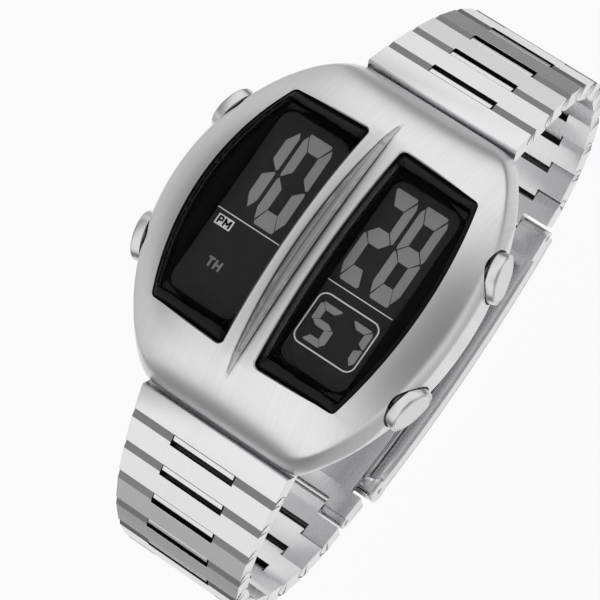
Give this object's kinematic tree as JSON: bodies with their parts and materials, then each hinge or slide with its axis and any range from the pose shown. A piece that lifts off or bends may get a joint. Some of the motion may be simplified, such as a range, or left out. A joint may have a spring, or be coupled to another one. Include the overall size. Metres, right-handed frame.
{
  "type": "digital wristwatch",
  "caption": "Digital wristwatch with an arched steel case, two display windows, round side pushers, a tapering link bracelet and a folding clasp.",
  "frame": {"origin": "middle of the outer face of the case back, where the watch rests on the wrist", "axes": "+Z out of the dial, +Y towards 12 o'clock, +X towards 3 o'clock"},
  "size_m": [0.0424, 0.0786, 0.0558],
  "materials": {
    "case": "satin",
    "crystal_left": "polished, dark",
    "crystal_right": "polished, dark",
    "crystal_gaskets": "matt",
    "display_mask": "gloss",
    "lcd_left": "gloss",
    "lcd_right": "gloss",
    "light_panels": "matt",
    "zebra_connectors": "matt",
    "module_frame": "matt",
    "circuit_board": "matt",
    "board_parts": "matt",
    "switch_contacts": "polished",
    "cell_holder": "matt",
    "coin_cell": "polished",
    "cell_clip": "satin",
    "buzzer_disc": "satin",
    "case_back": "satin",
    "case_back_gasket": "matt",
    "case_back_screws": "satin",
    "pushers": "satin",
    "pusher_springs": "bright",
    "pusher_seals": "matt",
    "spring_bars": "satin",
    "bracelet_links": "satin",
    "clasp_spring_bar": "satin",
    "clasp": "satin"
  },
  "bodies": {
    "watch_head": {"case": "case", "crystal_left": "crystal_left", "crystal_right": "crystal_right", "crystal_gaskets": "crystal_gaskets", "display_mask": "display_mask", "lcd_left": "lcd_left", "lcd_right": "lcd_right", "light_panels": "light_panels", "zebra_connectors": "zebra_connectors", "module_frame": "module_frame", "circuit_board": "circuit_board", "board_parts": "board_parts", "switch_contacts": "switch_contacts", "cell_holder": "cell_holder", "coin_cell": "coin_cell", "cell_clip": "cell_clip", "buzzer_disc": "buzzer_disc", "case_back": "case_back", "case_back_gasket": "case_back_gasket", "case_back_screws": "case_back_screws", "spring_upper_right": "pusher_springs", "spring_lower_right": "pusher_springs", "spring_upper_left": "pusher_springs", "spring_lower_left": "pusher_springs", "pusher_seals": "pusher_seals", "spring_bars": "spring_bars"},
    "pusher_upper_right": {"pusher_upper_right": "pushers"},
    "pusher_upper_left": {"pusher_upper_left": "pushers"},
    "pusher_lower_right": {"pusher_lower_right": "pushers"},
    "pusher_lower_left": {"pusher_lower_left": "pushers"},
    "upper_link_01": {"upper_link_01": "bracelet_links"},
    "upper_link_02": {"upper_link_02": "bracelet_links"},
    "upper_link_03": {"upper_link_03": "bracelet_links"},
    "upper_link_04": {"upper_link_04": "bracelet_links"},
    "upper_link_05": {"upper_link_05": "bracelet_links"},
    "upper_link_06": {"upper_link_06": "bracelet_links"},
    "upper_link_07": {"upper_link_07": "bracelet_links"},
    "upper_link_08": {"upper_link_08": "bracelet_links"},
    "upper_link_09": {"upper_link_09": "bracelet_links"},
    "upper_link_10": {"upper_link_10": "bracelet_links"},
    "upper_link_11": {"upper_link_11": "bracelet_links"},
    "upper_link_12": {"upper_link_12": "bracelet_links", "clasp_spring_bar": "clasp_spring_bar"},
    "lower_link_01": {"lower_link_01": "bracelet_links"},
    "lower_link_02": {"lower_link_02": "bracelet_links"},
    "lower_link_03": {"lower_link_03": "bracelet_links"},
    "lower_link_04": {"lower_link_04": "bracelet_links"},
    "lower_link_05": {"lower_link_05": "bracelet_links"},
    "lower_link_06": {"lower_link_06": "bracelet_links"},
    "lower_link_07": {"lower_link_07": "bracelet_links"},
    "lower_link_08": {"lower_link_08": "bracelet_links"},
    "lower_link_09": {"lower_link_09": "bracelet_links"},
    "lower_link_10": {"lower_link_10": "bracelet_links"},
    "lower_link_11": {"lower_link_11": "bracelet_links"},
    "lower_link_12": {"lower_link_12": "bracelet_links"},
    "clasp_inner_blade": {"clasp_inner_blade": "clasp"},
    "clasp_middle_blade": {"clasp_middle_blade": "clasp"},
    "clasp_cover": {"clasp_cover": "clasp"}
  },
  "joints": [
    {"name": "pusher_upper_right_press", "type": "slide", "parent": "watch_head", "child": "pusher_upper_right", "axis": [-0.9709, -0.2395, 0], "range_m": [0, 0.0008], "stiffness_N_per_m": 500, "springref_m": -0.0015, "deforming": ["spring_upper_right"]},
    {"name": "pusher_upper_left_press", "type": "slide", "parent": "watch_head", "child": "pusher_upper_left", "axis": [0.9709, -0.2395, 0], "range_m": [0, 0.0008], "stiffness_N_per_m": 500, "springref_m": -0.0015, "deforming": ["spring_upper_left"]},
    {"name": "pusher_lower_right_press", "type": "slide", "parent": "watch_head", "child": "pusher_lower_right", "axis": [-0.9709, 0.2395, 0], "range_m": [0, 0.0008], "stiffness_N_per_m": 500, "springref_m": -0.0015, "deforming": ["spring_lower_right"]},
    {"name": "pusher_lower_left_press", "type": "slide", "parent": "watch_head", "child": "pusher_lower_left", "axis": [0.9709, 0.2395, 0], "range_m": [0, 0.0008], "stiffness_N_per_m": 500, "springref_m": -0.0015, "deforming": ["spring_lower_left"]},
    {"name": "upper_link_01_hinge", "type": "hinge", "parent": "watch_head", "child": "upper_link_01", "pos_m": [0, 0.0211, 0.00143], "axis": [1, 0, 0], "range_deg": [0, 20]},
    {"name": "upper_link_02_hinge", "type": "hinge", "parent": "upper_link_01", "child": "upper_link_02", "pos_m": [0, 0.02629, -0.00106], "axis": [1, 0, 0], "range_deg": [0, 9]},
    {"name": "upper_link_03_hinge", "type": "hinge", "parent": "upper_link_02", "child": "upper_link_03", "pos_m": [0, 0.02977, -0.00376], "axis": [1, 0, 0], "range_deg": [0, 10]},
    {"name": "upper_link_04_hinge", "type": "hinge", "parent": "upper_link_03", "child": "upper_link_04", "pos_m": [0, 0.03299, -0.00676], "axis": [1, 0, 0], "range_deg": [0, 15]},
    {"name": "upper_link_05_hinge", "type": "hinge", "parent": "upper_link_04", "child": "upper_link_05", "pos_m": [0, 0.03564, -0.01027], "axis": [1, 0, 0], "range_deg": [0, 18]},
    {"name": "upper_link_06_hinge", "type": "hinge", "parent": "upper_link_05", "child": "upper_link_06", "pos_m": [0, 0.03742, -0.01429], "axis": [1, 0, 0], "range_deg": [0, 19]},
    {"name": "upper_link_07_hinge", "type": "hinge", "parent": "upper_link_06", "child": "upper_link_07", "pos_m": [0, 0.03819, -0.01862], "axis": [1, 0, 0], "range_deg": [0, 20]},
    {"name": "upper_link_08_hinge", "type": "hinge", "parent": "upper_link_07", "child": "upper_link_08", "pos_m": [0, 0.0378, -0.02301], "axis": [1, 0, 0], "range_deg": [0, 20]},
    {"name": "upper_link_09_hinge", "type": "hinge", "parent": "upper_link_08", "child": "upper_link_09", "pos_m": [0, 0.0363, -0.02714], "axis": [1, 0, 0], "range_deg": [0, 20]},
    {"name": "upper_link_10_hinge", "type": "hinge", "parent": "upper_link_09", "child": "upper_link_10", "pos_m": [0, 0.03378, -0.03075], "axis": [1, 0, 0], "range_deg": [0, 20]},
    {"name": "upper_link_11_hinge", "type": "hinge", "parent": "upper_link_10", "child": "upper_link_11", "pos_m": [0, 0.03041, -0.03357], "axis": [1, 0, 0], "range_deg": [0, 19]},
    {"name": "upper_link_12_hinge", "type": "hinge", "parent": "upper_link_11", "child": "upper_link_12", "pos_m": [0, 0.02645, -0.0355], "axis": [1, 0, 0], "range_deg": [0, 17]},
    {"name": "lower_link_01_hinge", "type": "hinge", "parent": "watch_head", "child": "lower_link_01", "pos_m": [0, -0.0211, 0.00143], "axis": [-1, 0, 0], "range_deg": [0, 20]},
    {"name": "lower_link_02_hinge", "type": "hinge", "parent": "lower_link_01", "child": "lower_link_02", "pos_m": [0, -0.02629, -0.00106], "axis": [-1, 0, 0], "range_deg": [0, 9]},
    {"name": "lower_link_03_hinge", "type": "hinge", "parent": "lower_link_02", "child": "lower_link_03", "pos_m": [0, -0.02977, -0.00376], "axis": [-1, 0, 0], "range_deg": [0, 10]},
    {"name": "lower_link_04_hinge", "type": "hinge", "parent": "lower_link_03", "child": "lower_link_04", "pos_m": [0, -0.03299, -0.00676], "axis": [-1, 0, 0], "range_deg": [0, 15]},
    {"name": "lower_link_05_hinge", "type": "hinge", "parent": "lower_link_04", "child": "lower_link_05", "pos_m": [0, -0.03564, -0.01027], "axis": [-1, 0, 0], "range_deg": [0, 18]},
    {"name": "lower_link_06_hinge", "type": "hinge", "parent": "lower_link_05", "child": "lower_link_06", "pos_m": [0, -0.03742, -0.01429], "axis": [-1, 0, 0], "range_deg": [0, 19]},
    {"name": "lower_link_07_hinge", "type": "hinge", "parent": "lower_link_06", "child": "lower_link_07", "pos_m": [0, -0.03819, -0.01862], "axis": [-1, 0, 0], "range_deg": [0, 20]},
    {"name": "lower_link_08_hinge", "type": "hinge", "parent": "lower_link_07", "child": "lower_link_08", "pos_m": [0, -0.0378, -0.02301], "axis": [-1, 0, 0], "range_deg": [0, 20]},
    {"name": "lower_link_09_hinge", "type": "hinge", "parent": "lower_link_08", "child": "lower_link_09", "pos_m": [0, -0.0363, -0.02714], "axis": [-1, 0, 0], "range_deg": [0, 20]},
    {"name": "lower_link_10_hinge", "type": "hinge", "parent": "lower_link_09", "child": "lower_link_10", "pos_m": [0, -0.03378, -0.03075], "axis": [-1, 0, 0], "range_deg": [0, 20]},
    {"name": "lower_link_11_hinge", "type": "hinge", "parent": "lower_link_10", "child": "lower_link_11", "pos_m": [0, -0.03041, -0.03357], "axis": [-1, 0, 0], "range_deg": [0, 19]},
    {"name": "lower_link_12_hinge", "type": "hinge", "parent": "lower_link_11", "child": "lower_link_12", "pos_m": [0, -0.02645, -0.0355], "axis": [-1, 0, 0], "range_deg": [0, 17]},
    {"name": "inner_blade_hinge", "type": "hinge", "parent": "lower_link_12", "child": "clasp_inner_blade", "pos_m": [0, -0.02218, -0.03657], "axis": [-1, 0, 0], "range_deg": [-20, 20]},
    {"name": "blade_hinge", "type": "hinge", "parent": "clasp_inner_blade", "child": "clasp_middle_blade", "pos_m": [0, 0.01645, -0.03765], "axis": [1, 0, 0], "range_deg": [0, 135]},
    {"name": "cover_hinge", "type": "hinge", "parent": "clasp_middle_blade", "child": "clasp_cover", "pos_m": [0, -0.01637, -0.03884], "axis": [-1, 0, 0], "range_deg": [0, 135]}
  ],
  "couplings": [
    {"joint": "cover_hinge", "follows": "blade_hinge", "ratio": 1}
  ]
}
